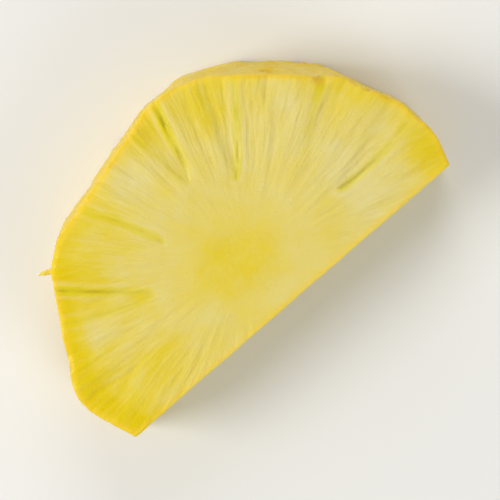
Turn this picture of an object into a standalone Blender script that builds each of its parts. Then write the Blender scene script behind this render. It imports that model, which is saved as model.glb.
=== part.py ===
"""A thick half slice of peeled pineapple with its core, lying on its lower face.

The origin is where the fruit's own axis meets the lower face. +Z is up, and the
straight halving cut runs along X, on the -Y side of that axis.
"""

from collections import namedtuple
from math import atan2, cos, hypot, pi, radians, sin, sqrt

import bmesh
import bpy
from mathutils import Euler, Matrix, Vector, noise

# Driving dimensions, in metres and degrees
THICKNESS = 0.0205
HALVING_OFFSET = 0.0125  # from the fruit's axis to the halving cut
CORE_RADIUS = 0.0085
BLANK_RADIUS = 0.0500  # the peeled fruit before its sides are squared off

# The turned blank: one sector for each few fibres, one ring for each step outwards
SECTORS = 160
RING_STEP = 0.0028
MERGE = 0.00001

# One knife stroke took off each flat of the rim. The bearing is the way that the flat
# faces, the distance is from the fruit's axis, and a positive lean faces it upwards.
Stroke = namedtuple("Stroke", "bearing distance lean")
STROKES = (
    Stroke(200.5, 0.0440, 2.0),
    Stroke(149.0, 0.0413, -2.0),
    Stroke(104.5, 0.0358, 3.0),
    Stroke(88.5, 0.0385, 2.0),
    Stroke(66.0, 0.0402, 3.0),
    Stroke(48.5, 0.0396, 7.0),
    Stroke(24.0, 0.0441, 1.0),
    Stroke(6.5, 0.0469, 1.0),
    Stroke(-17.0, 0.0474, -2.0),
)
CORNER_RADIUS = 0.0120  # the corners between strokes are soft
FACET_TURN = 9.0  # degrees between the facets that round them

# Each eye of the skin leaves a long rounded chamber that opens at the rim, where it has
# this bearing and half its width in degrees. It ends at inner, at the tip's bearing. The
# wall on each side shows as a furrow of its own depth. The flower left a pit in the rim,
# at a height that is a share of the thickness. It is as wide as pit, and tall times that high.
Eye = namedtuple("Eye", "bearing tip inner half_width left right pit tall height")
EYES = (
    Eye(183.0, 183.0, 0.0330, 8.0, 0.0000, 0.0000, 0.0024, 1.3, 0.42),
    Eye(150.8, 157.0, 0.0215, 5.4, 0.0003, 0.0006, 0.0020, 2.2, 0.62),
    Eye(131.0, 126.0, 0.0190, 8.5, 0.0000, 0.0004, 0.0028, 1.1, 0.38),
    Eye(85.2, 85.0, 0.0212, 6.2, 0.0003, 0.0008, 0.0021, 2.0, 0.60),
    Eye(60.5, 57.0, 0.0185, 6.8, 0.0000, 0.0004, 0.0028, 1.0, 0.36),
    Eye(43.0, 43.0, 0.0350, 3.2, 0.0002, 0.0002, 0.0022, 1.6, 0.68),
    Eye(22.0, 20.0, 0.0270, 5.6, 0.0003, 0.0002, 0.0019, 2.4, 0.42),
    Eye(6.0, -1.5, 0.0250, 4.8, 0.0002, 0.0006, 0.0026, 1.2, 0.60),
)
# The rows of eyes above and below sit between these, so that some of their pits nick the
# slice's upper and lower edges. Each bearing has its nick's width.
UPPER_NICKS = ((27.8, 0.0018),)
LOWER_NICKS = ((168.0, 0.0022), (97.0, 0.0020), (33.0, 0.0022))
UPPER_NICK_HEIGHT = 0.0210
LOWER_NICK_HEIGHT = 0.0002
EYE_SINK = 0.0005  # how far the flesh inside an eye lies below the rest
EYE_REACH = 0.0480  # where the walls of an eye end, just past the rim
FURROW_RADIUS = 0.0006
FURROW_POINTS = 12  # along one wall
PIT_DEPTH = 0.0026
DISH_SPREAD = 1.5  # the flesh sinks towards a pit as a dish whose ball has this times its width
DISH_DEPTH = 0.32  # and which reaches this share of the ball's radius into the rim

# Low relief of the upper face
FIBRE_RELIEF = 0.00035
FIBRE_COUNT = 17.0  # noise cells in one radian of the turn
FIBRE_LENGTH = 0.012
SWELL = 0.00025
SWELL_LENGTH = 0.016
SEED = Vector((3.7, 1.9, 8.3))

# A tag of flesh that the peeling knife left on the rim
TAG_BEARING = 140.5
TAG_START = 0.0385
TAG_LENGTH = 0.0062
TAG_RADIUS = 0.0011
TAG_HEIGHT = 0.0178
TAG_TURN = 16.0  # it points a little to one side of straight out

FLESH = (0.78, 0.62, 0.16, 1.0)


def bearing_vector(bearing, length=1.0, height=0.0):
    """The point at this bearing from the fruit's axis."""
    turn = radians(bearing)
    return Vector((length * cos(turn), length * sin(turn), height))


def smooth(low, high, value):
    """0 below low, 1 above high, and an S curve between."""
    share = min(1.0, max(0.0, (value - low) / (high - low)))
    return share * share * (3.0 - 2.0 * share)


def eye_span(eye, radius):
    """The eye's middle and half its width, as turns in radians, this far from the axis."""
    inward = (EYE_REACH - radius) / (EYE_REACH - eye.inner)
    middle = eye.bearing + (eye.tip - eye.bearing) * inward
    return radians(middle), radians(eye.half_width) * sqrt(max(0.0, 1.0 - inward * inward))


def inside_eye(eye, radius, turn):
    """How deep this point lies in the eye, from 0 at its walls and outside to 1."""
    middle, half = eye_span(eye, radius)
    if half <= 0.0:
        return 0.0
    aside = (turn - middle + pi) % (2.0 * pi) - pi
    return smooth(0.0, 0.6, 1.0 - abs(aside) / half)


def rise(x, y):
    """Height of the upper face over its mean plane: fibres, gentle swell and sunk eyes."""
    radius = hypot(x, y)
    turn = atan2(y, x)
    around = Vector((cos(turn), sin(turn), 0.0)) * FIBRE_COUNT
    fibres = noise.noise(around + SEED + Vector((0.0, 0.0, radius / FIBRE_LENGTH)))
    swell = noise.noise(Vector((x, y, 0.0)) / SWELL_LENGTH + SEED)
    sunk = max(inside_eye(eye, radius, turn) for eye in EYES)
    outward = smooth(CORE_RADIUS, 3.0 * CORE_RADIUS, radius)
    return FIBRE_RELIEF * outward * fibres + SWELL * swell - EYE_SINK * sunk


def rounded(strokes):
    """The strokes, with the narrow facets between them that round each corner of the rim."""
    rim = [strokes[0]]
    for near, far in zip(strokes, strokes[1:]):
        first, last = bearing_vector(near.bearing).to_2d(), bearing_vector(far.bearing).to_2d()
        corner = Matrix((first, last)).inverted() @ Vector((near.distance, far.distance))
        turn = near.bearing - far.bearing
        centre = corner - (first + last).normalized() * CORNER_RADIUS / cos(radians(turn / 2))
        facets = round(turn / FACET_TURN)
        for step in range(1, facets):
            share = step / facets
            bearing = near.bearing - turn * share
            distance = CORNER_RADIUS + centre.dot(bearing_vector(bearing).to_2d())
            rim.append(Stroke(bearing, distance, near.lean + (far.lean - near.lean) * share))
        rim.append(far)
    return rim


def link(name, data, collection):
    new = bpy.data.objects.new(name, data)
    collection.objects.link(new)
    return new


def made_mesh(source, name, collection):
    """The evaluated object as a plain mesh object in its place, with the source removed."""
    bpy.context.view_layer.update()
    graph = bpy.context.evaluated_depsgraph_get()
    mesh = bpy.data.meshes.new_from_object(source.evaluated_get(graph))
    edit = bmesh.new()
    edit.from_mesh(mesh)
    bmesh.ops.remove_doubles(edit, verts=edit.verts, dist=MERGE)
    edit.to_mesh(mesh)
    edit.free()
    new = link(name, mesh, collection)
    new.matrix_world = source.matrix_world
    bpy.data.objects.remove(source)
    return new


def turned_blank(collection):
    """The round slice before the knife squares it off: its edge profile turned about the axis."""
    rings = round(BLANK_RADIUS / RING_STEP)
    profile = [(BLANK_RADIUS * ring / rings, THICKNESS) for ring in range(rings + 1)]
    profile += [(BLANK_RADIUS, 0.0), (0.0, 0.0)]
    mesh = bpy.data.meshes.new("edge_profile")
    edges = [(point, point + 1) for point in range(len(profile) - 1)]
    mesh.from_pydata([(x, 0.0, z) for x, z in profile], edges, [])
    turned = link("edge_profile", mesh, collection)
    screw = turned.modifiers.new("turn", "SCREW")
    screw.steps = screw.render_steps = SECTORS
    screw.use_merge_vertices = True
    screw.merge_threshold = MERGE
    return made_mesh(turned, "pineapple_slice", collection)


def knife(edit, point, normal):
    """Takes off all that lies beyond the plane, and closes the cut."""
    whole = edit.verts[:] + edit.edges[:] + edit.faces[:]
    cut = bmesh.ops.bisect_plane(
        edit, geom=whole, dist=MERGE / 10, plane_co=point, plane_no=normal, clear_outer=True
    )
    open_edges = [
        item for item in cut["geom_cut"] if isinstance(item, bmesh.types.BMEdge) and item.is_boundary
    ]
    bmesh.ops.edgeloop_fill(edit, edges=open_edges)


def cut_slice(blank):
    """Gives the upper face its relief, then peels and halves the blank."""
    edit = bmesh.new()
    edit.from_mesh(blank.data)
    for vert in edit.verts:
        if vert.co.z > THICKNESS / 2:
            vert.co.z += rise(vert.co.x, vert.co.y)
    for stroke in rounded(STROKES):
        lean = radians(stroke.lean)
        normal = bearing_vector(stroke.bearing, cos(lean), sin(lean))
        knife(edit, bearing_vector(stroke.bearing, stroke.distance, THICKNESS), normal)
    knife(edit, (0.0, -HALVING_OFFSET, 0.0), (0.0, -1.0, 0.0))
    bmesh.ops.recalc_face_normals(edit, faces=edit.faces)
    edit.to_mesh(blank.data)
    edit.free()


def furrow(name, eye, side, depth, collection):
    """A tapered tube along one wall of an eye. What of it lies in the flesh is the furrow."""
    curve = bpy.data.curves.new(name, "CURVE")
    curve.dimensions = "3D"
    curve.bevel_depth = FURROW_RADIUS
    curve.bevel_resolution = 2
    curve.use_fill_caps = True
    line = curve.splines.new("POLY")
    line.points.add(FURROW_POINTS - 1)
    for step, point in enumerate(line.points):
        share = step / (FURROW_POINTS - 1)
        radius = eye.inner + (EYE_REACH - eye.inner) * share**1.6
        middle, half = eye_span(eye, radius)
        turn = middle + side * half
        x, y = radius * cos(turn), radius * sin(turn)
        point.co = (x, y, THICKNESS + rise(x, y) + FURROW_RADIUS - depth, 1.0)
        point.radius = 0.55 + 0.45 * sin(pi * share)
    return made_mesh(link(name, curve, collection), name, collection)


def rim_distance(bearing, height):
    """How far the peeled rim lies from the axis at this bearing and height."""
    reaches = []
    for stroke in rounded(STROKES):
        facing = cos(radians(bearing - stroke.bearing))
        if facing > 0.3:
            step_out = (THICKNESS - height) * sin(radians(stroke.lean))
            reaches.append((stroke.distance + step_out) / facing)
    return min(reaches)


def ball(name, bearing, height, radii, outward, collection):
    """A stretched ball that cuts the rim, centred this far outside it. Its radii are inwards,
    along the rim and upwards."""
    mesh = bpy.data.meshes.new(name)
    edit = bmesh.new()
    bmesh.ops.create_uvsphere(edit, u_segments=16, v_segments=10, radius=1.0)
    distance = rim_distance(bearing, height) + outward
    place = Matrix.Translation(bearing_vector(bearing, distance, height))
    turn = Matrix.Rotation(radians(bearing), 4, "Z")
    bmesh.ops.transform(edit, matrix=place @ turn @ Matrix.Diagonal((*radii, 1.0)), verts=edit.verts)
    edit.to_mesh(mesh)
    edit.free()
    return link(name, mesh, collection)


def pit(name, bearing, height, width, tall, collection):
    """The hollow that the flower of an eye left in the rim, and the shallow dish around it."""
    half = width / 2
    ball(f"{name}_hollow", bearing, height, (PIT_DEPTH, half, half * tall), 0.0, collection)
    spread = width * DISH_SPREAD
    upwards = spread * sqrt(tall)
    ball(f"{name}_dish", bearing, height, (spread, spread, upwards), spread * (1.0 - DISH_DEPTH), collection)


def rim_tag(collection):
    """The pointed tag on the rim, rooted well inside the flesh."""
    mesh = bpy.data.meshes.new("rim_tag")
    edit = bmesh.new()
    bmesh.ops.create_cone(
        edit,
        cap_ends=True,
        segments=8,
        radius1=TAG_RADIUS,
        radius2=TAG_RADIUS / 5,
        depth=TAG_LENGTH,
        matrix=Matrix.Translation((0.0, 0.0, TAG_LENGTH / 2)),
    )
    flat = Matrix.Diagonal((0.5, 1.0, 1.0, 1.0))
    lie_down = Euler((0.0, pi / 2, radians(TAG_BEARING + TAG_TURN))).to_matrix().to_4x4()
    place = Matrix.Translation(bearing_vector(TAG_BEARING, TAG_START, TAG_HEIGHT))
    bmesh.ops.transform(edit, matrix=place @ lie_down @ flat, verts=edit.verts)
    edit.to_mesh(mesh)
    edit.free()
    return link("rim_tag", mesh, collection)


def flesh_material():
    flesh = bpy.data.materials.new("pineapple_flesh")
    flesh.use_nodes = True
    shader = flesh.node_tree.nodes["Principled BSDF"]
    shader.inputs["Base Color"].default_value = FLESH
    shader.inputs["Roughness"].default_value = 0.4
    shader.inputs["Metallic"].default_value = 0.0
    return flesh


def boolean(target, operation, collection):
    modifier = target.modifiers.new(operation.lower(), "BOOLEAN")
    modifier.operation = operation
    modifier.operand_type = "COLLECTION"
    modifier.collection = collection
    modifier.solver = "EXACT"


def new_collection(name):
    collection = bpy.data.collections.new(name)
    bpy.context.scene.collection.children.link(collection)
    return collection


def main():
    for old in list(bpy.data.objects):
        bpy.data.objects.remove(old)
    parts = new_collection("pineapple_half_slice")
    added = new_collection("added_flesh")
    cutters = new_collection("eye_cutters")

    flesh = turned_blank(parts)
    cut_slice(flesh)
    flesh.data.materials.append(flesh_material())

    rim_tag(added)
    for number, eye in enumerate(EYES):
        if eye.left:
            furrow(f"furrow_left_{number}", eye, 1.0, eye.left, cutters)
        if eye.right:
            furrow(f"furrow_right_{number}", eye, -1.0, eye.right, cutters)
        pit(f"pit_{number}", eye.bearing, eye.height * THICKNESS, eye.pit, eye.tall, cutters)
    for nicks, height in ((UPPER_NICKS, UPPER_NICK_HEIGHT), (LOWER_NICKS, LOWER_NICK_HEIGHT)):
        for bearing, width in nicks:
            pit(f"nick_{bearing:.0f}", bearing, height, width, 1.0, cutters)
    for helper in list(added.objects) + list(cutters.objects):
        helper.hide_render = True
        helper.display_type = "WIRE"

    boolean(flesh, "UNION", added)
    boolean(flesh, "DIFFERENCE", cutters)


main()
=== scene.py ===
"""Looks of a thick half slice of peeled pineapple that lies on its lower face, in metres.

The fruit's axis is the Z axis, and the straight halving cut faces -Y.
"""

from collections import namedtuple
from math import cos, radians, sin, sqrt

import bmesh
import bpy
from mathutils import Matrix, Vector


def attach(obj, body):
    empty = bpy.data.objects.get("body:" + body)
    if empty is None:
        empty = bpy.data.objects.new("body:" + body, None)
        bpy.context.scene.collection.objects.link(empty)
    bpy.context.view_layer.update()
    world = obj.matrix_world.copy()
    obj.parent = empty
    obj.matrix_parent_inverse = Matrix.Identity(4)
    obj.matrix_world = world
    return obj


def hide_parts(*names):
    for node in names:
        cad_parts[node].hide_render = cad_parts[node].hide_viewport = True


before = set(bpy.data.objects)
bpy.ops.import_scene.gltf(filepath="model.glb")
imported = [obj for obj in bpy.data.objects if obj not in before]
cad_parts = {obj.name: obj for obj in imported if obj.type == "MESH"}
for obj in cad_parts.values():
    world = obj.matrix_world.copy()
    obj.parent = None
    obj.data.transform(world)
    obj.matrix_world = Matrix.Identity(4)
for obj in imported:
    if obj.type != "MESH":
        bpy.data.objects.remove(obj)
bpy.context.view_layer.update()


# Camera
# It looks almost straight down, as the photograph does, with the slice turned the same
# way. It leans a little past the slice's upper end, where the photo shows some of the rim.
UP_BEARING = 48.9  # bearing on the slice that points up in the picture, in degrees
CAMERA_LEAN = 5.0  # degrees from straight down
CAMERA_DISTANCE = 0.62
CAMERA_LENS = 211.6  # mm, on a 36 mm sensor
VIEW_CENTRE = Vector((0.0022, 0.0016, 0.0205))


def bearing_vector(bearing, length=1.0, height=0.0):
    """The point at this bearing, in degrees, and this far from the fruit's axis."""
    turn = radians(bearing)
    return Vector((length * cos(turn), length * sin(turn), height))


picture_up = bearing_vector(UP_BEARING)
camera = bpy.data.objects.new("camera", bpy.data.cameras.new("camera"))
bpy.context.scene.collection.objects.link(camera)
camera.data.lens = CAMERA_LENS
lean = radians(CAMERA_LEAN)
away = picture_up * sin(lean) + Vector((0.0, 0.0, cos(lean)))
right = (-away).cross(picture_up).normalized()
camera.matrix_world = (
    Matrix.Translation(VIEW_CENTRE + away * CAMERA_DISTANCE)
    @ Matrix((right, away.cross(right), away)).transposed().to_4x4()
)
bpy.context.scene.camera = camera


# Eyes
# Each eye of the skin is a small fruit of its own, and its chamber shows in the slice as a
# long rounded field of wetter, deeper yellow flesh between two thin walls. Its withered
# flower left a brown pit in the peeled rim. Both faces of the slice cut a row of them.
# Bearings and half widths are in degrees. An eye has its bearing at the rim, and the tip's
# at its inner end. The walls to its left and right are as strong as given there, (outer, inner),
# and ripe says how much deeper a yellow its field has.
Eye = namedtuple("Eye", "bearing tip inner half_width left right pit_height ripe")
UPPER_EYES = (
    Eye(183.0, 183.0, 0.0330, 8.0, (0.06, 0.04), (0.06, 0.04), 0.42, 0.15),
    Eye(150.8, 157.0, 0.0215, 5.4, (0.20, 0.12), (0.60, 0.14), 0.62, 0.15),
    Eye(131.0, 126.0, 0.0190, 8.5, (0.03, 0.06), (0.12, 0.36), 0.38, 0.10),
    Eye(85.2, 85.0, 0.0212, 6.2, (0.06, 0.16), (0.85, 0.16), 0.60, 0.40),
    Eye(60.5, 57.0, 0.0185, 6.8, (0.03, 0.03), (0.06, 0.42), 0.36, 0.46),
    Eye(43.0, 43.0, 0.0350, 3.2, (0.08, 0.04), (0.08, 0.04), 0.68, 0.10),
    Eye(22.0, 20.0, 0.0270, 5.6, (0.36, 0.06), (0.05, 0.04), 0.42, 0.34),
    Eye(6.0, -1.5, 0.0250, 4.8, (0.03, 0.02), (0.10, 0.38), 0.60, 0.00),
)
UPPER_NICKS = (27.8,)
UPPER_NICK_HEIGHT = 0.0200
LOWER_NICKS = (168.0, 97.0, 33.0)
LOWER_NICK_HEIGHT = 0.0006
EYE_REACH = 0.0480  # where the walls of an eye end, just past the rim
WALL_POINTS = 24
WALL_CROWDING = 1.8  # the points crowd together towards the round inner end
LOWER_HALF_WIDTH = 5.4
OUTSIDE = 0.08  # well outside the rim, from the axis
TOP_HEIGHT = 0.0205
FLAT_RISE = 0.25  # eyes are measured with heights shrunk so, because they run deep into the slice

LOWER_EYES = tuple(
    Eye(
        (near.bearing + far.bearing) / 2,
        (near.tip + far.tip) / 2,
        (near.inner + far.inner) / 2,
        LOWER_HALF_WIDTH,
        far.left,
        near.right,
        0.0,
        (near.ripe + far.ripe) / 2,
    )
    for near, far in zip(UPPER_EYES, UPPER_EYES[1:])
)


def eye_wall(eye, side, height):
    """Points along one wall of an eye, from its round inner end outwards, with their strengths."""
    wall = []
    outer, inner = eye.left if side > 0 else eye.right
    for step in range(WALL_POINTS):
        share = (step / (WALL_POINTS - 1)) ** WALL_CROWDING
        radius = eye.inner + (EYE_REACH - eye.inner) * share
        inward = 1.0 - share
        bearing = eye.bearing + (eye.tip - eye.bearing) * inward
        bearing += side * eye.half_width * sqrt(1.0 - inward * inward)
        wall.append((bearing_vector(bearing, radius, height), outer + (inner - outer) * inward))
    return wall


def guide(name, edit):
    """A mesh that only guides the flesh's relief and colours, and is removed afterwards."""
    mesh = bpy.data.meshes.new(name)
    edit.to_mesh(mesh)
    edit.free()
    made = bpy.data.objects.new(name, mesh)
    bpy.context.scene.collection.objects.link(made)
    return made


def eye_map(name, as_faces):
    """The eyes' fields as faces, or their walls as edges that know how strong they are."""
    edit = bmesh.new()
    strength = edit.verts.layers.float.new("strength")
    ripe = edit.verts.layers.float.new("ripe")
    for eyes, height in ((UPPER_EYES, TOP_HEIGHT * FLAT_RISE), (LOWER_EYES, 0.0)):
        for eye in eyes:
            walls = []
            for side in (1.0, -1.0):
                walls.append([])
                for point, share in eye_wall(eye, side, height):
                    vert = edit.verts.new(point)
                    vert[strength] = share
                    vert[ripe] = eye.ripe
                    walls[-1].append(vert)
            for at in range(1, WALL_POINTS):
                (left_in, left_out), (right_in, right_out) = (wall[at - 1 : at + 1] for wall in walls)
                if as_faces:
                    edit.faces.new((left_in, left_out, right_out, right_in))
                else:
                    edit.edges.new((left_in, left_out))
                    edit.edges.new((right_in, right_out))
    return guide(name, edit)


def hollow_bottoms(node, places):
    """The bottom of each hollow in the rim, found by looking inwards from outside it."""
    spots = []
    for bearing, height in places:
        start = bearing_vector(bearing, OUTSIDE, height)
        found, spot, _, _ = node.ray_cast(start, -bearing_vector(bearing))
        if found:
            spots.append(spot)
    return spots


peeled_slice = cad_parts["pineapple_slice"]
whole_pits = [(eye.bearing, eye.pit_height * TOP_HEIGHT) for eye in UPPER_EYES]
cut_pits = [(bearing, LOWER_NICK_HEIGHT) for bearing in LOWER_NICKS]
pit_spots = hollow_bottoms(peeled_slice, whole_pits + cut_pits)
flower_spots = hollow_bottoms(peeled_slice, whole_pits)
nick_spots = hollow_bottoms(peeled_slice, [(bearing, UPPER_NICK_HEIGHT) for bearing in UPPER_NICKS])
eye_fields = eye_map("eye_fields", True)
eye_walls = eye_map("eye_walls", False)


# Flesh
# One thick cut of the peeled fruit, core and all. Threads of fibre run outwards from the
# core through soft, wet pulp, so a knife leaves a face with fine radial furrows, sunk eyes
# and a dense core whose own threads run upwards.
FLESH_GRID = 0.00030  # side of a face of the fine mesh
FLESH_TRIANGLES = 192000  # what is left once its flat stretches are thinned
SCRAP_FACES = 1000  # a loose bit of the fine mesh has fewer faces than this
CORE_RADIUS = 0.0085
CORE_SPAN = (0.0060, 0.0110)  # the core's upward fibres give way to outward ones between these
CORE_RELIEF = 0.20  # share of the fibres' relief that is left inside the core
FIBRE_SPACING = 0.0012
FIBRE_DEPTH = 0.00030
FIBRE_GAIN = 1.7  # noise seldom nears its limits, so the relief is raised by this
FIBRE_LENGTH = 0.0085
FIBRE_END_SPACING = 0.0010
FIBRE_END_SHAKE = 0.0009
INNER_RADIUS = 0.013  # the threads part into finer ones from here
OUTER_RADIUS = 0.030  # to here
CELLS_PER_THREAD = 1.25
WAVER = 0.05  # how much the threads stray to either side
WAVER_SCALE = 90.0  # once in about 11 mm
WALL_WAVER = 0.0012  # and the eyes' walls
WALL_WAVER_SCALE = 260.0  # once in about 4 mm
ACCENT_SCALE = 190.0  # a wall fades and darkens about every 5 mm
ACCENT_SPAN = (0.40, 0.60)
WALL_SOFTENING = 0.95  # share of a wall's furrow that has closed, where the wall is faintest
WALL_REACH = (0.0012, 0.0028)  # the furrow's own width to either side, and where it has ended
SWELL_DEPTH = 0.00022
SWELL_LENGTH = 0.0090
LOBE_DEPTH = 0.00035  # each eye stands this proud of the seams around it, at the rim
SEAM_WIDTH = 0.0040
SEAM_STRAY = 0.0024  # how far the seams wander
SEAM_STRAY_SCALE = 210.0  # once in about 5 mm
PIT_SOFTENING = 10  # passes that round the lips of the pits
PIT_REACH = (0.0040, 0.0060)
PIT_RAGGED = 0.00050
RAGGED_SCALE = 520.0  # torn bits of about 2 mm
HALVING_OFFSET = 0.0125
INNERMOST_RIM = 0.0355  # the rim is nowhere nearer the axis, apart from its pits
RIM_FACING = 0.8  # a face counts as rim where it faces outwards by more than this
RIM_SKIN = (0.0002, 0.0014)  # the rim's own relief fades out between these depths
TAG_PLACE = (-0.0350, 0.0270, 0.0180)  # the tip of the tag of flesh that stands off the rim
TAG_REACH = (0.0020, 0.0034)
TAG_SWELLING = 0.00034


S_CURVE = {"interpolation_type": "SMOOTHSTEP"}  # how every measured range is crossed


def add(tree, kind, *inputs, output=0, **settings):
    """Adds a node with its settings, and returns one of its outputs.

    Its inputs get their values or links in order, or from a dictionary by name or number.
    """
    made = tree.nodes.new(kind)
    for name, value in settings.items():
        setattr(made, name, value)
    given = inputs[0] if inputs and isinstance(inputs[0], dict) else dict(enumerate(inputs))
    for key, value in given.items():
        if isinstance(value, bpy.types.NodeSocket):
            tree.links.new(value, made.inputs[key])
        else:
            made.inputs[key].default_value = value
    return made.outputs[output] if made.outputs else None


def around_axis(tree, place):
    """The distance from the fruit's axis, the wavering way outwards, and the height."""
    level = add(tree, "ShaderNodeVectorMath", place, (1.0, 1.0, 0.0), operation="MULTIPLY")
    radius = add(tree, "ShaderNodeVectorMath", level, operation="LENGTH", output="Value")
    outward = add(tree, "ShaderNodeVectorMath", level, operation="NORMALIZE")
    stray = {"Vector": place, "Scale": WAVER_SCALE, "Detail": 2.0}
    stray = add(tree, "ShaderNodeTexNoise", stray, output="Color")
    stray = add(tree, "ShaderNodeVectorMath", stray, (0.5, 0.5, 0.5), operation="SUBTRACT")
    stray = add(tree, "ShaderNodeVectorMath", {0: stray, "Scale": WAVER}, operation="SCALE")
    outward = add(tree, "ShaderNodeVectorMath", outward, stray, operation="ADD")
    height = add(tree, "ShaderNodeSeparateXYZ", place, output=2)
    return radius, outward, height


def threads(tree, polar, count, spacing, length, detail):
    """Noise drawn out along the fibres, with count cells for each radian of the turn."""
    radius, outward, height = polar
    rise = add(tree, "ShaderNodeMath", height, spacing, operation="DIVIDE")
    up = add(tree, "ShaderNodeCombineXYZ", {2: rise})
    turn = add(tree, "ShaderNodeVectorMath", {0: outward, "Scale": count}, operation="SCALE")
    where = add(tree, "ShaderNodeVectorMath", turn, up, operation="ADD")
    along = add(tree, "ShaderNodeMath", radius, length, operation="DIVIDE")
    inputs = {"Vector": where, "W": along, "Scale": 1.0, "Detail": detail}
    return add(tree, "ShaderNodeTexNoise", inputs, noise_dimensions="4D")


def named_inputs(tree, sockets):
    """Gives a geometry tree its inputs, as (name, kind, value), and returns them by name."""
    tree.interface.new_socket("Geometry", in_out="INPUT", socket_type="NodeSocketGeometry")
    tree.interface.new_socket("Geometry", in_out="OUTPUT", socket_type="NodeSocketGeometry")
    for name, kind, value in sockets:
        socket = tree.interface.new_socket(name, in_out="INPUT", socket_type=kind)
        if value is not None:
            socket.default_value = value
    return tree.nodes.new("NodeGroupInput").outputs


def plain(source, name):
    """The plain mesh object that the source's modifiers make of it, and the source is removed."""
    bpy.context.view_layer.update()
    graph = bpy.context.evaluated_depsgraph_get()
    mesh = bpy.data.meshes.new_from_object(source.evaluated_get(graph))
    bpy.data.objects.remove(source)
    made = bpy.data.objects.new(name, mesh)
    bpy.context.scene.collection.objects.link(made)
    return made


def with_tree(source, tree, values, name):
    """The plain mesh object that a geometry tree makes of the source."""
    modifier = source.modifiers.new("tree", "NODES")
    modifier.node_group = tree
    for item in tree.interface.items_tree:
        if item.in_out == "INPUT" and item.name in values:
            modifier[item.identifier] = values[item.name]
    return plain(source, name)


def fine_copy(node, grid):
    """A copy of the slice's solid with an even, fine mesh."""
    mesh = node.data.copy()
    edit = bmesh.new()
    edit.from_mesh(mesh)
    bmesh.ops.remove_doubles(edit, verts=edit.verts, dist=grid / 100)
    edit.to_mesh(mesh)
    edit.free()
    copy = bpy.data.objects.new("fine_copy", mesh)
    bpy.context.scene.collection.objects.link(copy)
    remesh = copy.modifiers.new("even", "REMESH")
    remesh.mode = "VOXEL"
    remesh.voxel_size = grid
    remesh.use_smooth_shade = True
    return copy


def two_smallest(tree, values):
    """The smallest of the values, and the next one."""
    smallest = following = 1.0
    for value in values:
        larger = add(tree, "ShaderNodeMath", smallest, value, operation="MAXIMUM")
        following = add(tree, "ShaderNodeMath", following, larger, operation="MINIMUM")
        smallest = add(tree, "ShaderNodeMath", smallest, value, operation="MINIMUM")
    return smallest, following


def pit_distances(tree, place, spots):
    """How far each point is from the nearest pit, and from the seam with the next eye."""
    distances = [
        add(tree, "ShaderNodeVectorMath", place, spot, operation="DISTANCE", output="Value")
        for spot in spots
    ]
    nearest, following = two_smallest(tree, distances)
    apart = add(tree, "ShaderNodeMath", following, nearest, operation="SUBTRACT")
    return nearest, add(tree, "ShaderNodeMath", apart, 2.0, operation="DIVIDE")


def without_scraps(tree, geometry):
    """The geometry less what is loose from the main body."""
    island = add(tree, "GeometryNodeInputMeshIsland", output="Island Index")
    faces = add(
        tree,
        "GeometryNodeAccumulateField",
        {"Value": 1.0, "Group ID": island},
        data_type="FLOAT",
        domain="FACE",
        output="Total",
    )
    scrap = add(tree, "ShaderNodeMath", faces, SCRAP_FACES, operation="LESS_THAN")
    return add(
        tree, "GeometryNodeDeleteGeometry", {"Geometry": geometry, "Selection": scrap}, domain="FACE"
    )


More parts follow.
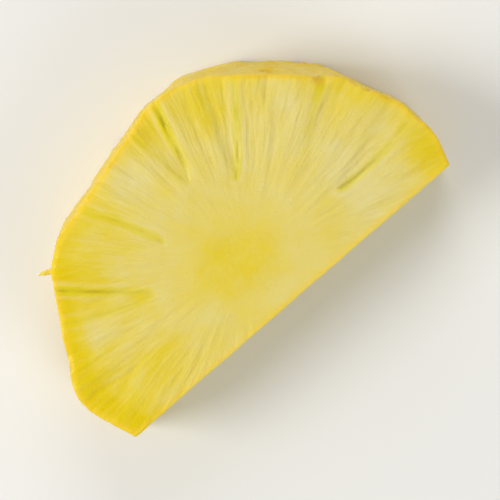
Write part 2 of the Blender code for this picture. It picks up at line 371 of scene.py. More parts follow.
def relief_tree():
    """Adds the fibres' relief, and stores where the eyes, their walls and the rim are."""
    tree = bpy.data.node_groups.new("flesh_relief", "GeometryNodeTree")
    given = named_inputs(
        tree,
        (
            ("Fibre spacing", "NodeSocketFloat", FIBRE_SPACING),
            ("Fibre depth", "NodeSocketFloat", FIBRE_DEPTH),
            ("Fibre length", "NodeSocketFloat", FIBRE_LENGTH),
            ("Swell depth", "NodeSocketFloat", SWELL_DEPTH),
            ("Lobe depth", "NodeSocketFloat", LOBE_DEPTH),
            ("Seam stray", "NodeSocketFloat", SEAM_STRAY),
            ("Pit softening", "NodeSocketInt", PIT_SOFTENING),
            ("Pit raggedness", "NodeSocketFloat", PIT_RAGGED),
            ("Wall waver", "NodeSocketFloat", WALL_WAVER),
            ("Wall softening", "NodeSocketFloat", WALL_SOFTENING),
            ("Tag swelling", "NodeSocketFloat", TAG_SWELLING),
            ("Core radius", "NodeSocketFloat", CORE_RADIUS),
            ("Eye fields", "NodeSocketObject", None),
            ("Eye walls", "NodeSocketObject", None),
            ("Flesh", "NodeSocketMaterial", None),
        ),
    )
    place = add(tree, "GeometryNodeInputPosition")
    polar = around_axis(tree, place)
    radius = polar[0]
    spacing = given["Fibre spacing"]

    # Threads keep their spacing by parting as they run outwards, so two sets are blended.
    inner_count, outer_count = (
        add(tree, "ShaderNodeMath", parting * CELLS_PER_THREAD, spacing, operation="DIVIDE")
        for parting in (INNER_RADIUS, OUTER_RADIUS)
    )
    inner = threads(tree, polar, inner_count, spacing, given["Fibre length"], 2.0)
    outer = threads(tree, polar, outer_count, spacing, given["Fibre length"], 2.0)
    parted = add(tree, "ShaderNodeMapRange", radius, INNER_RADIUS, OUTER_RADIUS, **S_CURVE)
    fibres = add(tree, "ShaderNodeMix", {"Factor": parted, 2: inner, 3: outer})
    core_to_rim = (given["Core radius"], OUTER_RADIUS)
    past_core = add(tree, "ShaderNodeMapRange", radius, *core_to_rim, CORE_RELIEF, 1.0, **S_CURVE)
    fibre_push = add(tree, "ShaderNodeMath", fibres, 0.5, operation="SUBTRACT")
    fibre_push = add(tree, "ShaderNodeMath", fibre_push, FIBRE_GAIN, operation="MULTIPLY")
    fibre_push = add(tree, "ShaderNodeMath", fibre_push, past_core, operation="MULTIPLY")
    fibre_push = add(tree, "ShaderNodeMath", fibre_push, given["Fibre depth"], operation="MULTIPLY")
    swell = add(tree, "ShaderNodeTexNoise", {"Vector": place, "Scale": 1.0 / SWELL_LENGTH, "Detail": 1.0})
    swell_push = add(tree, "ShaderNodeMath", swell, 0.5, operation="SUBTRACT")
    swell_push = add(tree, "ShaderNodeMath", swell_push, given["Swell depth"], operation="MULTIPLY")
    swell_push = add(tree, "ShaderNodeMath", swell_push, 2.0, operation="MULTIPLY")
    push = add(tree, "ShaderNodeMath", fibre_push, swell_push, operation="ADD")

    # The eyes, measured with heights shrunk: how far inside an eye's wall each point lies.
    flat = add(tree, "ShaderNodeVectorMath", place, (1.0, 1.0, FLAT_RISE), operation="MULTIPLY")
    fields = add(tree, "GeometryNodeObjectInfo", {"Object": given["Eye fields"]}, output="Geometry")
    walls = add(tree, "GeometryNodeObjectInfo", {"Object": given["Eye walls"]}, output="Geometry")
    to_field, to_wall = (
        add(
            tree,
            "GeometryNodeProximity",
            {0: guides, "Source Position": flat},
            target_element=kind,
            output="Distance",
        )
        for guides, kind in ((fields, "FACES"), (walls, "EDGES"))
    )
    outside = add(tree, "ShaderNodeMath", to_field, FLESH_GRID / 100, operation="GREATER_THAN")
    side = add(tree, "ShaderNodeMath", outside, 2.0, operation="MULTIPLY")
    side = add(tree, "ShaderNodeMath", 1.0, side, operation="SUBTRACT")
    in_eye = add(tree, "ShaderNodeMath", to_wall, side, operation="MULTIPLY")
    stray = add(tree, "ShaderNodeTexNoise", {"Vector": place, "Scale": WALL_WAVER_SCALE, "Detail": 1.0})
    stray = add(tree, "ShaderNodeMath", stray, 0.5, operation="SUBTRACT")
    stray = add(tree, "ShaderNodeMath", stray, given["Wall waver"], operation="MULTIPLY")
    in_eye = add(tree, "ShaderNodeMath", in_eye, stray, operation="ADD")
    nearest = add(
        tree, "GeometryNodeSampleNearest", {"Geometry": walls, "Sample Position": flat}, domain="EDGE"
    )
    wall_strength, ripe = (
        add(
            tree,
            "GeometryNodeSampleIndex",
            {
                "Geometry": walls,
                "Value": add(tree, "GeometryNodeInputNamedAttribute", {"Name": name}),
                "Index": nearest,
            },
            domain="EDGE",
        )
        for name in ("strength", "ripe")
    )
    to_pit, to_seam = pit_distances(tree, place, pit_spots)
    to_nick, _ = pit_distances(tree, place, nick_spots)
    wander = add(tree, "ShaderNodeTexNoise", {"Vector": place, "Scale": SEAM_STRAY_SCALE, "Detail": 1.0})
    wander = add(tree, "ShaderNodeMath", wander, 0.5, operation="SUBTRACT")
    wander = add(tree, "ShaderNodeMath", wander, given["Seam stray"], operation="MULTIPLY")
    to_seam = add(tree, "ShaderNodeMath", to_seam, wander, operation="ADD")
    to_seam = add(tree, "ShaderNodeMath", to_seam, 0.0, operation="ABSOLUTE")

    # The fibres are cut across where the surface faces along them: upwards inside the core,
    # and outwards past it.
    normal = add(tree, "GeometryNodeInputNormal")
    core_share = add(tree, "ShaderNodeMapRange", radius, *CORE_SPAN, 1.0, 0.0, **S_CURVE)
    fibre_way = {0: core_share, 4: polar[1], 5: (0.0, 0.0, 1.0)}
    fibre_way = add(tree, "ShaderNodeMix", fibre_way, data_type="VECTOR", output=1)
    ends_on = add(tree, "ShaderNodeVectorMath", normal, fibre_way, operation="DOT_PRODUCT", output=1)
    ends_on = add(tree, "ShaderNodeMath", ends_on, 0.0, operation="ABSOLUTE")

    # The peeled side, which faces outwards, gives each point its depth under the peel.
    _, across, height = add(tree, "ShaderNodeSeparateXYZ", place).node.outputs
    off_cut = add(tree, "ShaderNodeMath", across, FLESH_GRID - HALVING_OFFSET, operation="GREATER_THAN")
    facing = add(tree, "ShaderNodeVectorMath", normal, polar[1], operation="DOT_PRODUCT", output="Value")
    outwards = add(tree, "ShaderNodeMath", facing, RIM_FACING, operation="GREATER_THAN")
    far_out = add(tree, "ShaderNodeMath", radius, INNERMOST_RIM, operation="GREATER_THAN")
    outwards = add(tree, "ShaderNodeMath", outwards, far_out, operation="MULTIPLY")
    peeled = {
        "Geometry": given["Geometry"],
        "Selection": add(tree, "ShaderNodeMath", outwards, off_cut, operation="MULTIPLY"),
    }
    rim = add(tree, "GeometryNodeSeparateGeometry", peeled, domain="FACE")
    peel_depth = add(tree, "GeometryNodeProximity", rim, target_element="FACES", output="Distance")
    from_cut = add(tree, "ShaderNodeMath", across, HALVING_OFFSET, operation="ADD")
    from_top = add(tree, "ShaderNodeMath", height, TOP_HEIGHT, operation="SUBTRACT")
    from_top = add(tree, "ShaderNodeMath", from_top, 0.0, operation="ABSOLUTE")
    to_edge = two_smallest(tree, (from_cut, from_top, height, peel_depth))[1]

    # At the rim each eye is a low lobe with a soft, ragged pit in it.
    at_rim = add(tree, "ShaderNodeMapRange", peel_depth, *RIM_SKIN, 1.0, 0.0, **S_CURVE)
    seam = add(tree, "ShaderNodeMapRange", to_seam, 0.0, SEAM_WIDTH, -1.0, 0.0, **S_CURVE)
    near_pit = add(tree, "ShaderNodeMapRange", to_pit, *PIT_REACH, 1.0, 0.0, **S_CURVE)
    rough = add(tree, "ShaderNodeTexNoise", {"Vector": place, "Scale": RAGGED_SCALE, "Detail": 2.0})
    ragged = add(tree, "ShaderNodeMath", rough, 0.5, operation="SUBTRACT")
    ragged = add(tree, "ShaderNodeMath", ragged, given["Pit raggedness"], operation="MULTIPLY")
    ragged = add(tree, "ShaderNodeMath", ragged, near_pit, operation="MULTIPLY")
    ragged = add(tree, "ShaderNodeMath", ragged, 2.0, operation="MULTIPLY")
    rim_push = add(tree, "ShaderNodeMath", seam, given["Lobe depth"], operation="MULTIPLY")
    rim_push = add(tree, "ShaderNodeMath", rim_push, ragged, operation="ADD")
    rim_push = add(tree, "ShaderNodeMath", rim_push, at_rim, operation="MULTIPLY")
    push = add(tree, "ShaderNodeMath", push, rim_push, operation="ADD")

    # The tag is torn and swollen with juice.
    to_tag = add(tree, "ShaderNodeVectorMath", place, TAG_PLACE, operation="DISTANCE", output="Value")
    swollen = add(tree, "ShaderNodeMapRange", to_tag, *TAG_REACH, 2.0, 0.0, **S_CURVE)
    swollen = add(tree, "ShaderNodeMath", swollen, rough, operation="MULTIPLY")
    swollen = add(tree, "ShaderNodeMath", swollen, given["Tag swelling"], operation="MULTIPLY")
    push = add(tree, "ShaderNodeMath", push, swollen, operation="ADD")

    # A wall's furrow has closed in places, and more so where the wall is faint.
    off_wall = add(tree, "ShaderNodeMath", in_eye, 0.0, operation="ABSOLUTE")
    near_wall = add(tree, "ShaderNodeMapRange", off_wall, *WALL_REACH, 1.0, 0.0, **S_CURVE)
    accents = add(tree, "ShaderNodeTexNoise", {"Vector": place, "Scale": ACCENT_SCALE, "Detail": 1.0})
    closed = add(tree, "ShaderNodeMapRange", accents, *ACCENT_SPAN, 1.0, 0.30, **S_CURVE)
    closed = add(tree, "ShaderNodeMath", closed, wall_strength, operation="SUBTRACT")
    closed = add(tree, "ShaderNodeMath", closed, given["Wall softening"], operation="MULTIPLY")
    closed = add(tree, "ShaderNodeMath", closed, near_wall, operation="MULTIPLY")
    softness = add(tree, "ShaderNodeMath", near_pit, closed, operation="MAXIMUM")

    geometry = without_scraps(tree, given["Geometry"])
    for name, value in (
        ("in_eye", in_eye),
        ("wall_strength", wall_strength),
        ("ripe", ripe),
        ("to_pit", to_pit),
        ("to_nick", to_nick),
        ("to_seam", to_seam),
        ("to_edge", to_edge),
        ("peel_depth", peel_depth),
        ("ends_on", ends_on),
    ):
        geometry = add(
            tree,
            "GeometryNodeStoreNamedAttribute",
            {"Geometry": geometry, "Name": name, "Value": value},
            data_type="FLOAT",
            domain="POINT",
        )
    softened = add(
        tree,
        "GeometryNodeBlurAttribute",
        {"Value": place, "Iterations": given["Pit softening"], "Weight": softness},
        data_type="FLOAT_VECTOR",
    )
    offset = add(tree, "ShaderNodeVectorMath", {0: normal, "Scale": push}, operation="SCALE")
    moved = add(
        tree, "GeometryNodeSetPosition", {"Geometry": geometry, "Position": softened, "Offset": offset}
    )
    on_floor = add(tree, "ShaderNodeVectorMath", place, (-1.0, -1.0, 0.0), operation="MAXIMUM")
    moved = add(tree, "GeometryNodeSetPosition", {"Geometry": moved, "Position": on_floor})
    whole = add(tree, "GeometryNodeRealizeInstances", moved)
    final = add(tree, "GeometryNodeSetMaterial", {"Geometry": whole, "Material": given["Flesh"]})
    add(tree, "NodeGroupOutput", final)
    return tree


def colour(code):
    """The linear colour of an sRGB hex code."""
    parts = [int(code[at : at + 2], 16) / 255 for at in (1, 3, 5)]
    return (*(part / 12.92 if part <= 0.04045 else ((part + 0.055) / 1.055) ** 2.4 for part in parts), 1.0)


CLOUD_SCALE = 95.0  # clouds of about 10 mm
MOTTLE_SCALE = 260.0  # and of about 4 mm
GRAIN_SCALE = 1600.0  # cells of juice, about 0.6 mm
SHAKE_SCALE = 1100.0
MEDIUM_THREADS = (12.0, 0.0035, 0.0120)  # cells to a radian, spacing up the slice, length
FINE_THREADS = (46.0, 0.0009, 0.0070)
LEAST_DEPTH = 0.22  # how deep a yellow the flesh is where nothing makes it deeper
# Each range here is crossed from its first value to its second. Its third and fourth are
# the shares at those two, and are 0 and 1 where they aren't given. Distances are in metres.
OFF_CORE = (0.0070, 0.0300)  # from the axis: where the threads' colours set in
RIPE_END = (  # along the cut: its -X end is riper
    (-0.010, -0.046, 0.0, 0.26),
    (-0.034, -0.046, 0.0, 0.30),
)
UNDER_PEEL = (0.0, 0.0070, 1.0, 0.0)  # under the peel: the flesh is riper there
RIPER_PEEL = (-0.018, -0.040, 0.24, 0.78)  # along the cut: and more so at that end
EYE_FIELD = (0.0, 0.0022)  # inside an eye's wall
EYE_FADING = (0.0050, 0.0150, 1.0, 0.10)  # under the peel
RIM_GOLD = (0.0, 0.0010, 1.0, 0.0)  # under the peel
BLOTCHES = (0.35, 0.65)  # of the clouds
SEAM_WEB = (0.0, 0.0016, 0.38, 0.0)  # from a seam
PIT_HALO = (0.0030, 0.0080, 0.50, 0.0)  # from a pit
PALE_THREAD = (0.45, 0.70, 0.0, 0.17)  # of the fine threads
IN_PALE_FLESH = (0.40, 0.90, 1.0, 0.35)  # of the depth of yellow
PORE = (0.30, 0.40, 0.22, 0.0)  # of the fine threads
CUT_ACROSS = (0.55, 0.90)  # of how squarely the fibres are cut
ENDS_OFF_CORE = (0.0060, 0.0120, 0.25, 1.0)  # from the axis
ENDS_SHOWN = (0.42, 0.62, 0.25, 1.0)  # of the mottle
FIBRE_END = (0.08, 0.42, 1.0, 0.0)  # from a fibre's middle, in spacings
BETWEEN_ENDS = (0.42, 0.70)
WALL_BREAKS = (*ACCENT_SPAN, 0.12, 1.0)
WALL_LINE = (0.00005, 0.00060, 0.80, 0.0)  # from a wall
WALL_BAND = (0.00040, 0.00150, 1.6, 0.0)
PALE_LINE_START = (-0.0024, -0.0015)  # inside an eye's wall, so these are outside it
PALE_LINE_END = (-0.0012, -0.0008, 1.0, 0.0)
LINE_WAVER = 0.0010
# Painted light: the next two are warm painted highlights, at the sharp outer edges and at the tag's tip.
PAINTED_EDGE_HIGHLIGHT = (0.0003, 0.0018, 0.54, 0.0)  # from a sharp outer edge
PAINTED_TAG_GLOW = (0.0022, 0.0036, 0.60, 0.0)  # from the tag's tip
# Painted shade, in part: the nick's golden tint is also the shade in its hollow.
NICK_STAIN_AND_SHADE = (0.0006, 0.0022, 0.35, 0.0)  # from a nick
PIT_ORANGE = (0.0020, 0.0042, 0.70, 0.0)  # from a pit
PIT_BROWN = (0.0006, 0.0026, 0.80, 0.0)
# Where the flesh is riper, or less ripe, all through the slice: a bearing, a distance from
# the axis, a size, and how much deeper a yellow it is there.
RIPE_SPOTS = (
    (90.0, 0.0025, 0.0130, 0.30),
    (163.0, 0.0104, 0.0090, 0.14),
    (103.0, 0.0330, 0.0100, -0.26),
    (-3.0, 0.0300, 0.0120, -0.18),
    (-10.0, 0.0450, 0.0082, 0.50),
    (19.0, 0.0400, 0.0080, 0.18),
    (38.0, 0.0390, 0.0085, -0.18),
    (65.0, 0.0325, 0.0080, 0.32),
    (85.0, 0.0330, 0.0080, 0.33),
    (122.0, 0.0300, 0.0085, 0.24),
    (145.0, 0.0353, 0.0100, 0.40),
    (163.0, 0.0365, 0.0070, -0.30),
    (151.0, 0.0240, 0.0050, 0.15),
    (176.0, 0.0450, 0.0100, 0.40),
    (197.0, 0.0450, 0.0120, 0.45),
    (188.0, 0.0283, 0.0090, 0.18),
)


def flesh_material():
    """Wet fruit flesh: it scatters light deep inside, and its juice film gives a soft shine."""
    material = bpy.data.materials.new("wet_pineapple_flesh")
    material.use_nodes = True
    tree = material.node_tree
    shader = tree.nodes["Principled BSDF"]
    place = add(tree, "ShaderNodeTexCoord", output="Object")
    along_cut = add(tree, "ShaderNodeSeparateXYZ", place)
    polar = around_axis(tree, place)
    radius = polar[0]
    past_core = add(tree, "ShaderNodeMapRange", radius, *OFF_CORE, **S_CURVE)
    cloud = add(tree, "ShaderNodeTexNoise", {"Vector": place, "Scale": CLOUD_SCALE, "Detail": 2.0})
    medium = threads(tree, polar, *MEDIUM_THREADS, 2.0)
    fine = threads(tree, polar, *FINE_THREADS, 3.0)
    mottle = add(tree, "ShaderNodeTexNoise", {"Vector": place, "Scale": MOTTLE_SCALE, "Detail": 3.0})
    in_eye, strength, ripe, to_pit, to_nick, to_seam, to_edge, peel, ends_on = (
        add(tree, "ShaderNodeAttribute", attribute_name=name, output="Fac")
        for name in (
            "in_eye",
            "wall_strength",
            "ripe",
            "to_pit",
            "to_nick",
            "to_seam",
            "to_edge",
            "peel_depth",
            "ends_on",
        )
    )

    # How deep a yellow each spot is, from 0 at the palest flesh to 1 in the wettest.
    shares = []
    for pattern, weight in ((cloud, 0.45), (mottle, 0.30), (medium, 0.24)):
        share = add(tree, "ShaderNodeMath", pattern, 0.5, operation="SUBTRACT")
        shares.append(add(tree, "ShaderNodeMath", share, weight, operation="MULTIPLY"))
    shares[-1] = add(tree, "ShaderNodeMath", shares[-1], past_core, operation="MULTIPLY")
    for ripening in RIPE_END:
        shares.append(add(tree, "ShaderNodeMapRange", along_cut, *ripening, **S_CURVE))
    riper_peel = add(tree, "ShaderNodeMapRange", along_cut, *RIPER_PEEL, **S_CURVE)
    share = add(tree, "ShaderNodeMapRange", peel, *UNDER_PEEL, **S_CURVE)
    share = add(tree, "ShaderNodeMath", share, riper_peel, operation="MULTIPLY")
    shares.append(share)
    inside = add(tree, "ShaderNodeMapRange", in_eye, *EYE_FIELD, **S_CURVE)
    eye_share = add(tree, "ShaderNodeMapRange", peel, *EYE_FADING, **S_CURVE)
    eye_share = add(tree, "ShaderNodeMath", eye_share, inside, operation="MULTIPLY")
    shares.append(add(tree, "ShaderNodeMath", eye_share, ripe, operation="MULTIPLY"))
    level = add(tree, "ShaderNodeVectorMath", place, (1.0, 1.0, 0.0), operation="MULTIPLY")
    for bearing, distance, size, deeper in RIPE_SPOTS:
        spot = bearing_vector(bearing, distance)
        away = add(tree, "ShaderNodeVectorMath", level, spot, operation="DISTANCE", output="Value")
        shares.append(add(tree, "ShaderNodeMapRange", away, 0.0, size, deeper, 0.0, **S_CURVE))
    depth = LEAST_DEPTH
    for share in shares:
        depth = add(tree, "ShaderNodeMath", share, depth, operation="ADD")
    ramp = add(tree, "ShaderNodeValToRGB", depth).node
    ramp.color_ramp.elements[0].color = colour("#e6d88e")
    ramp.color_ramp.elements[0].position = 0.0
    ramp.color_ramp.elements[1].color = colour("#e4ca00")
    ramp.color_ramp.elements[1].position = 1.0
    middle = ramp.color_ramp.elements.new(0.5)
    middle.color = colour("#e7d03c")

    # What is laid over that yellow, in order, each as its share and its colour.
    layers = []

    # The peeled rim is golden, with pale fibre webs along the seams and a pale halo at each pit.
    at_rim = add(tree, "ShaderNodeMapRange", peel, *RIM_GOLD, **S_CURVE)
    layers.append((add(tree, "ShaderNodeMath", at_rim, 0.92, operation="MULTIPLY"), "#e6c000"))
    blotch = add(tree, "ShaderNodeMapRange", cloud, *BLOTCHES, **S_CURVE)
    web = add(tree, "ShaderNodeMapRange", to_seam, *SEAM_WEB, **S_CURVE)
    web = add(tree, "ShaderNodeMath", web, at_rim, operation="MULTIPLY")
    layers.append((add(tree, "ShaderNodeMath", web, blotch, operation="MULTIPLY"), "#e8d883"))
    halo = add(tree, "ShaderNodeMapRange", to_pit, *PIT_HALO, **S_CURVE)
    halo = add(tree, "ShaderNodeMath", halo, at_rim, operation="MULTIPLY")
    layers.append((add(tree, "ShaderNodeMath", halo, blotch, operation="MULTIPLY"), "#e3d372"))

    # Fine threads are paler than the pulp between them, which has small dark pores.
    pale_thread = add(tree, "ShaderNodeMapRange", fine, *PALE_THREAD, **S_CURVE)
    pale_thread = add(tree, "ShaderNodeMath", pale_thread, past_core, operation="MULTIPLY")
    in_pale = add(tree, "ShaderNodeMapRange", depth, *IN_PALE_FLESH, **S_CURVE)
    pale_thread = add(tree, "ShaderNodeMath", pale_thread, in_pale, operation="MULTIPLY")
    layers.append((pale_thread, "#efe5b0"))
    pore = add(tree, "ShaderNodeMapRange", fine, *PORE, **S_CURVE)
    pore = add(tree, "ShaderNodeMath", pore, past_core, operation="MULTIPLY")
    layers.append((pore, "#d9b90c"))

    # Where the fibres are cut across, their pale ends stand in clearer, deeper pulp.
    shake = {"Vector": place, "Scale": SHAKE_SCALE, "Detail": 1.0}
    shake = add(tree, "ShaderNodeTexNoise", shake, output="Color")
    shake = add(tree, "ShaderNodeVectorMath", {0: shake, "Scale": FIBRE_END_SHAKE}, operation="SCALE")
    shaken = add(tree, "ShaderNodeVectorMath", place, shake, operation="ADD")
    cells = {"Vector": shaken, "Scale": 1.0 / FIBRE_END_SPACING}
    cells = add(tree, "ShaderNodeTexVoronoi", cells, output="Distance")
    across = add(tree, "ShaderNodeMapRange", ends_on, *CUT_ACROSS, **S_CURVE)
    off_core = add(tree, "ShaderNodeMapRange", radius, *ENDS_OFF_CORE, **S_CURVE)
    across = add(tree, "ShaderNodeMath", across, off_core, operation="MULTIPLY")
    shown = add(tree, "ShaderNodeMapRange", mottle, *ENDS_SHOWN, **S_CURVE)
    shown = add(tree, "ShaderNodeMath", shown, across, operation="MULTIPLY")
    ends = add(tree, "ShaderNodeMapRange", cells, *FIBRE_END, **S_CURVE)
    ends = add(tree, "ShaderNodeMath", ends, shown, operation="MULTIPLY")
    between = add(tree, "ShaderNodeMapRange", cells, *BETWEEN_ENDS, **S_CURVE)
    between = add(tree, "ShaderNodeMath", between, across, operation="MULTIPLY")
    layers.append((add(tree, "ShaderNodeMath", ends, 0.22, operation="MULTIPLY"), "#ebdd98"))
    layers.append((add(tree, "ShaderNodeMath", between, 0.22, operation="MULTIPLY"), "#dcb800"))

    # A wall is a thin olive line in a soft lemon band, with a pale line along its outer side.
    accents = add(tree, "ShaderNodeTexNoise", {"Vector": place, "Scale": ACCENT_SCALE, "Detail": 1.0})
    breaks = add(tree, "ShaderNodeMapRange", accents, *WALL_BREAKS, **S_CURVE)
    off_wall = add(tree, "ShaderNodeMath", in_eye, 0.0, operation="ABSOLUTE")
    waver = add(tree, "ShaderNodeMath", mottle, 0.5, operation="SUBTRACT")
    waver = add(tree, "ShaderNodeMath", waver, LINE_WAVER, operation="MULTIPLY")
    off_wall = add(tree, "ShaderNodeMath", off_wall, waver, operation="ADD")
    line = add(tree, "ShaderNodeMapRange", off_wall, *WALL_LINE, **S_CURVE)
    line = add(tree, "ShaderNodeMath", line, strength, operation="MULTIPLY")
    line = add(tree, "ShaderNodeMath", line, breaks, operation="MULTIPLY")
    band = add(tree, "ShaderNodeMapRange", off_wall, *WALL_BAND, **S_CURVE)
    band = add(tree, "ShaderNodeMath", band, strength, operation="MULTIPLY")
    band = add(tree, "ShaderNodeMath", band, 0.9, operation="MINIMUM")
    outer_side = add(tree, "ShaderNodeMapRange", in_eye, *PALE_LINE_START, **S_CURVE)
    inner_side = add(tree, "ShaderNodeMapRange", in_eye, *PALE_LINE_END, **S_CURVE)
    beside = add(tree, "ShaderNodeMath", outer_side, inner_side, operation="MULTIPLY")
    beside = add(tree, "ShaderNodeMath", beside, strength, operation="MULTIPLY")
    layers.append((add(tree, "ShaderNodeMath", beside, 0.45, operation="MULTIPLY"), "#ecdcae"))
    layers.append((band, "#dfd022"))
    layers.append((line, "#a8980c"))

    # Painted light: a warm painted highlight along the sharp outer edges, for the light that passes
    # through the flesh there.
    share = add(tree, "ShaderNodeMapRange", to_edge, *PAINTED_EDGE_HIGHLIGHT, **S_CURVE)
    layers.append((share, "#f3cd36"))

    # The tag on the rim is thin and torn; a warm painted glow at its tip stands for the light that passes
    # through it.
    to_tag = add(tree, "ShaderNodeVectorMath", place, TAG_PLACE, operation="DISTANCE", output="Value")
    share = add(tree, "ShaderNodeMapRange", to_tag, *PAINTED_TAG_GLOW, **S_CURVE)
    layers.append((share, "#f1cf66"))

    # Each pit is stained, orange around it and brown in its depth, and a nick gets a golden tint that is
    # partly a stain and partly painted shade in its hollow.
    share = add(tree, "ShaderNodeMapRange", to_nick, *NICK_STAIN_AND_SHADE, **S_CURVE)
    layers.append((share, "#d3a21a"))
    ragged = add(tree, "ShaderNodeMath", waver, 2.2, operation="MULTIPLY")
    ragged = add(tree, "ShaderNodeMath", ragged, to_pit, operation="ADD")
    share = add(tree, "ShaderNodeMapRange", ragged, *PIT_ORANGE, **S_CURVE)
    layers.append((share, "#dfa50c"))
    share = add(tree, "ShaderNodeMapRange", ragged, *PIT_BROWN, **S_CURVE)
    layers.append((share, "#ae760c"))

    shade = ramp.outputs[0]
    for share, code in layers:
        mixed = {"Factor": share, 6: shade, 7: colour(code)}
        shade = add(tree, "ShaderNodeMix", mixed, data_type="RGBA", output=2)
    tree.links.new(shade, shader.inputs["Base Color"])

    # Threads, cells of juice and fibre ends stand out a little under the film of juice.
    relief = add(tree, "ShaderNodeMath", fine, past_core, operation="MULTIPLY")
    grain = add(tree, "ShaderNodeTexNoise", {"Vector": place, "Scale": GRAIN_SCALE, "Detail": 2.0})
    grain = add(tree, "ShaderNodeMath", grain, 0.4, operation="MULTIPLY")
    relief = add(tree, "ShaderNodeMath", relief, grain, operation="ADD")
    proud = add(tree, "ShaderNodeMath", ends, 0.20, operation="MULTIPLY")
    relief = add(tree, "ShaderNodeMath", relief, proud, operation="ADD")
    sunk = add(tree, "ShaderNodeMath", between, 0.20, operation="MULTIPLY")
    relief = add(tree, "ShaderNodeMath", relief, sunk, operation="SUBTRACT")
    bump = add(tree, "ShaderNodeBump", {"Height": relief, "Strength": 0.5, "Distance": 0.0006})
    tree.links.new(bump, shader.inputs["Normal"])
    shader.inputs["Roughness"].default_value = 0.50
    shader.inputs["Specular IOR Level"].default_value = 0.25
    shader.inputs["IOR"].default_value = 1.34
    shader.inputs["Subsurface Weight"].default_value = 0.45
    shader.inputs["Subsurface Radius"].default_value = (1.0, 0.90, 0.18)
    shader.inputs["Subsurface Scale"].default_value = 0.0030
    shader.inputs["Coat Weight"].default_value = 0.25
    shader.inputs["Coat Roughness"].default_value = 0.14
    shader.inputs["Coat IOR"].default_value = 1.33
    return material


def thinned(source, triangles, name):
    """The object's mesh with faces merged where it is flattest, down to this many triangles."""
    thin = source.modifiers.new("thin", "DECIMATE")
    thin.ratio = triangles / sum(len(face.vertices) - 2 for face in source.data.polygons)
    thin.use_collapse_triangulate = True
    return plain(source, name)


relief = with_tree(
    fine_copy(peeled_slice, FLESH_GRID),
    relief_tree(),
    {"Eye fields": eye_fields, "Eye walls": eye_walls, "Flesh": flesh_material()},
    "relief",
)
flesh = thinned(relief, FLESH_TRIANGLES, "flesh")
for guide_object in (eye_fields, eye_walls):
    bpy.data.objects.remove(guide_object)
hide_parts("pineapple_slice")
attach(flesh, "root")


# Withered flowers
# What is left of each eye's flower: a tuft of dry brown papery bits, held deep in its pit
# by the flesh around it, where the peeling knife didn't reach.
BITS_IN_A_PIT = 14
BIT_LENGTH = 0.0017
BIT_WIDTH = 0.00028  # half the width at its foot
BIT_THINNESS = 0.35  # its thickness, as a share of its width
BIT_TILT = 0.55  # how far it may lean from the way the pit points, in radians
BIT_BEND = 0.35  # how far its tip bends aside, as a share of its length
BIT_SIZES = (0.55, 1.15)  # the smallest and the largest, as shares of that length
TUFT_RADIUS = 0.00080
TUFT_LIFT = 0.0001  # how far the bits stand out from the very bottom
BIT_SEED = 11


def flower_places(spots):
    """A mesh of loose points at the pits' bottoms, which know the way out of the fruit."""
    edit = bmesh.new()
    outward = edit.verts.layers.float_vector.new("outward")
    for spot in spots:
        way_out = Vector((spot.x, spot.y, 0.0)).normalized()
        vert = edit.verts.new(spot + way_out * TUFT_LIFT)
        vert[outward] = way_out
    return guide("flower_places", edit)


def random_vector(tree, size, seed):
    """A random vector for each point, up to this size each way."""
    unit = add(
        tree,
        "FunctionNodeRandomValue",
        {"Min": (-1.0, -1.0, -1.0), "Max": (1.0, 1.0, 1.0), "Seed": seed},
        data_type="FLOAT_VECTOR",
        output="Value",
    )
    return add(tree, "ShaderNodeVectorMath", {0: unit, "Scale": size}, operation="SCALE")


def tapered_strip(tree, length, width, thinness, bend):
    """A thin strip along Z that bends to one side and narrows to its tip."""
    halfway = add(tree, "ShaderNodeMath", length, 0.6, operation="MULTIPLY")
    middle = add(tree, "ShaderNodeCombineXYZ", {2: halfway})
    aside = add(tree, "ShaderNodeMath", length, bend, operation="MULTIPLY")
    tip = add(tree, "ShaderNodeCombineXYZ", {0: aside, 2: length})
    line = {"Resolution": 5, "Start": (0.0, 0.0, 0.0), "Middle": middle, "End": tip}
    line = add(tree, "GeometryNodeCurveQuadraticBezier", line)
    along = add(tree, "GeometryNodeSplineParameter", output="Factor")
    taper = add(tree, "ShaderNodeMapRange", along, 0.35, 1.0, 1.0, 0.15, **S_CURVE)
    taper = add(tree, "ShaderNodeMath", taper, width, operation="MULTIPLY")
    profile = add(tree, "GeometryNodeCurvePrimitiveCircle", {"Resolution": 6, "Radius": 1.0})
    flat = add(tree, "ShaderNodeCombineXYZ", 1.0, thinness, 1.0)
    profile = add(tree, "GeometryNodeTransform", {"Geometry": profile, "Scale": flat})
    strip = {"Curve": line, "Profile Curve": profile, "Scale": taper, "Fill Caps": True}
    return add(tree, "GeometryNodeCurveToMesh", strip)


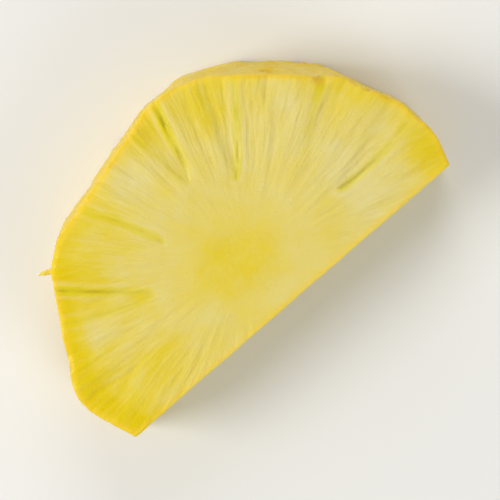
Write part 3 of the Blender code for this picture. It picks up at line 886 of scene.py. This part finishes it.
def tufts_tree():
    """Sets a tuft of bent, tapered bits on each point, each turned its own way."""
    tree = bpy.data.node_groups.new("flower_tufts", "GeometryNodeTree")
    given = named_inputs(
        tree,
        (
            ("Bits", "NodeSocketInt", BITS_IN_A_PIT),
            ("Bit length", "NodeSocketFloat", BIT_LENGTH),
            ("Bit width", "NodeSocketFloat", BIT_WIDTH),
            ("Thinness", "NodeSocketFloat", BIT_THINNESS),
            ("Tilt", "NodeSocketFloat", BIT_TILT),
            ("Tuft radius", "NodeSocketFloat", TUFT_RADIUS),
            ("Seed", "NodeSocketInt", BIT_SEED),
            ("Dry flower", "NodeSocketMaterial", None),
        ),
    )
    seed = given["Seed"]
    points = add(tree, "GeometryNodeMeshToPoints", {"Mesh": given["Geometry"]})
    many = {"Geometry": points, "Amount": given["Bits"]}
    many = add(tree, "GeometryNodeDuplicateElements", many, domain="POINT")
    spread = random_vector(tree, given["Tuft radius"], seed)
    many = add(tree, "GeometryNodeSetPosition", {"Geometry": many, "Offset": spread})
    outward = add(tree, "GeometryNodeInputNamedAttribute", {"Name": "outward"}, data_type="FLOAT_VECTOR")
    lean_seed = add(tree, "ShaderNodeMath", seed, 1.0, operation="ADD")
    lean = random_vector(tree, given["Tilt"], lean_seed)
    way = add(tree, "ShaderNodeVectorMath", outward, lean, operation="ADD")
    turn = add(tree, "FunctionNodeAlignRotationToVector", {"Vector": way}, axis="Z")
    size_seed = add(tree, "ShaderNodeMath", seed, 2.0, operation="ADD")
    size = {2: BIT_SIZES[0], 3: BIT_SIZES[1], "Seed": size_seed}
    size = add(tree, "FunctionNodeRandomValue", size, data_type="FLOAT", output=1)
    strip = tapered_strip(tree, given["Bit length"], given["Bit width"], given["Thinness"], BIT_BEND)
    placed = {"Points": many, "Instance": strip, "Rotation": turn, "Scale": size}
    placed = add(tree, "GeometryNodeInstanceOnPoints", placed)
    whole = add(tree, "GeometryNodeRealizeInstances", placed)
    final = add(tree, "GeometryNodeSetMaterial", {"Geometry": whole, "Material": given["Dry flower"]})
    add(tree, "NodeGroupOutput", final)
    return tree


def dry_flower_material():
    """Dried plant tissue: matt and papery, streaked dark brown and straw."""
    material = bpy.data.materials.new("dried_flower_tissue")
    material.use_nodes = True
    tree = material.node_tree
    shader = tree.nodes["Principled BSDF"]
    place = add(tree, "ShaderNodeTexCoord", output="Object")
    streak = add(tree, "ShaderNodeTexNoise", {"Vector": place, "Scale": 1400.0, "Detail": 2.0})
    ramp = add(tree, "ShaderNodeValToRGB", streak).node
    ramp.color_ramp.elements[0].color = colour("#6e430f")
    ramp.color_ramp.elements[0].position = 0.35
    ramp.color_ramp.elements[1].color = colour("#c08a2c")
    ramp.color_ramp.elements[1].position = 0.68
    tree.links.new(ramp.outputs[0], shader.inputs["Base Color"])
    bump = add(tree, "ShaderNodeBump", {"Height": streak, "Strength": 0.4, "Distance": 0.0001})
    tree.links.new(bump, shader.inputs["Normal"])
    shader.inputs["Roughness"].default_value = 0.75
    shader.inputs["IOR"].default_value = 1.45
    return material


withered_flowers = with_tree(
    flower_places(flower_spots), tufts_tree(), {"Dry flower": dry_flower_material()}, "withered_flowers"
)
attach(withered_flowers, "root")


# Stage
# A pale matt floor and three soft lights, as on a kitchen table by day.
FLOOR_SIZE = 3.0
LIT_SPOT = Vector((0.0, 0.01, 0.01))
SKY_TINT = (1.0, 0.985, 0.96, 1.0)
SKY_STRENGTH = 0.39
LIGHTS = (
    ("key", (-0.62, 0.42, 0.60), 0.50, 5.4),
    ("fill", (0.46, 0.60, 0.42), 0.60, 2.3),
    ("front", (0.05, -0.80, 0.45), 0.60, 2.4),
)
bpy.ops.mesh.primitive_plane_add(size=FLOOR_SIZE)
floor = bpy.context.object
floor.name = "floor"
floor_finish = bpy.data.materials.new("matt_pale_board")
floor_finish.use_nodes = True
floor_shader = floor_finish.node_tree.nodes["Principled BSDF"]
floor_shader.inputs["Base Color"].default_value = colour("#efeeea")
floor_shader.inputs["Roughness"].default_value = 0.8
floor.data.materials.append(floor_finish)
for name, place, size, power in LIGHTS:
    lamp = bpy.data.lights.new(name, "AREA")
    lamp.shape = "DISK"
    lamp.size = size
    lamp.energy = power
    lamp_object = bpy.data.objects.new(name, lamp)
    lamp_object.location = place
    aim = LIT_SPOT - Vector(place)
    lamp_object.rotation_euler = aim.to_track_quat("-Z", "Y").to_euler()
    bpy.context.scene.collection.objects.link(lamp_object)
sky = bpy.data.worlds.new("room")
sky.use_nodes = True
sky.node_tree.nodes["Background"].inputs["Color"].default_value = SKY_TINT
sky.node_tree.nodes["Background"].inputs["Strength"].default_value = SKY_STRENGTH
bpy.context.scene.world = sky
bpy.context.scene.view_settings.view_transform = "Standard"
